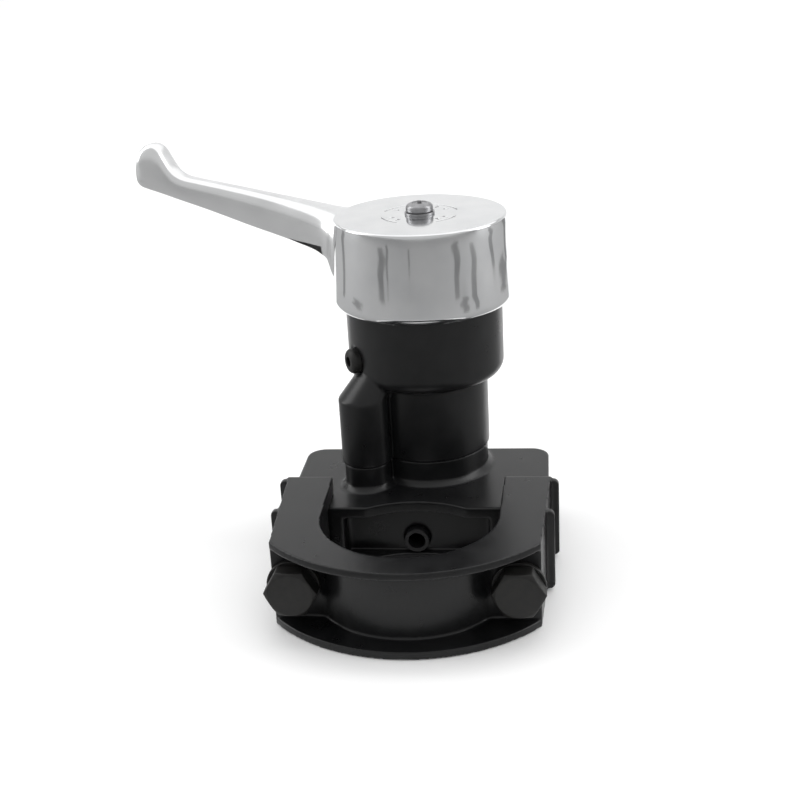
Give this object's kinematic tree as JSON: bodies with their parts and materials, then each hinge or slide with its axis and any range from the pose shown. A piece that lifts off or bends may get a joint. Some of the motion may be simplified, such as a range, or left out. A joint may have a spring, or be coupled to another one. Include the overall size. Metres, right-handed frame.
{
  "type": "pipe clamp",
  "caption": "Two-part clamp for an upright 50 mm pipe, with two hex bolts and a tower behind it that carries a quarter-turn lever on a chrome hub.",
  "frame": {"origin": "on the axis of the strap's 50 mm bore, in the plane of the clamp's underside", "axes": "+Z along the pipe's axis, towards the lever; +Y from the strap towards the rear body and tower; +X to the right, seen from the strap"},
  "size_m": [0.1315, 0.1124, 0.1182],
  "materials": {
    "black_casting": "satin black coating on a casting",
    "black_steel": "black oxide, slightly rough",
    "chrome": "polished chrome plate",
    "bright_steel": "bright turned steel",
    "brass": "turned brass",
    "seal_rubber": "matt",
    "ceramic": "ground smooth"
  },
  "bodies": {
    "body": {"rear_body": "black_casting", "tower_housing": "black_casting", "thread_inserts": "brass", "inlet_tube": "bright_steel", "inlet_o_ring": "seal_rubber", "cross_plug": "black_steel", "outlet_o_ring": "seal_rubber", "riser_o_ring": "seal_rubber", "housing_screws": "black_steel", "valve_seat": "ceramic", "seat_o_ring": "seal_rubber", "bonnet": "brass", "bonnet_o_ring": "seal_rubber", "stop_pin": "bright_steel", "thrust_washer": "bright_steel"},
    "strap": {"front_strap": "black_casting", "bolt_washers": "black_steel"},
    "bolt_left": {"clamp_bolt_left": "black_steel"},
    "bolt_right": {"clamp_bolt_right": "black_steel"},
    "lever": {"lever": "chrome", "lever_washer": "bright_steel", "lever_screw": "bright_steel", "spindle": "brass", "spindle_o_rings": "seal_rubber", "valve_disc": "ceramic", "disc_springs": "bright_steel", "retaining_ring": "bright_steel"}
  },
  "joints": [
    {"name": "lever_turn", "type": "hinge", "parent": "body", "child": "lever", "pos_m": [0.002, 0.047, 0.08], "axis": [0, 0, 1], "range_deg": [-90, 0]},
    {"name": "strap_slide", "type": "slide", "parent": "body", "child": "strap", "axis": [0, -1, 0], "range_m": [0, 0.008]},
    {"name": "bolt_left_turn", "type": "hinge", "parent": "strap", "child": "bolt_left", "pos_m": [-0.0308, -0.02, 0.01275], "axis": [0, 1, 0], "range_deg": [0, 2304]},
    {"name": "bolt_right_turn", "type": "hinge", "parent": "strap", "child": "bolt_right", "pos_m": [0.0308, -0.02, 0.01275], "axis": [0, 1, 0], "range_deg": [0, 2304]}
  ],
  "couplings": [
    {"joint": "bolt_left_turn", "follows": "strap_slide", "rad_per_m": 5026.5},
    {"joint": "bolt_right_turn", "follows": "strap_slide", "rad_per_m": 5026.5}
  ]
}
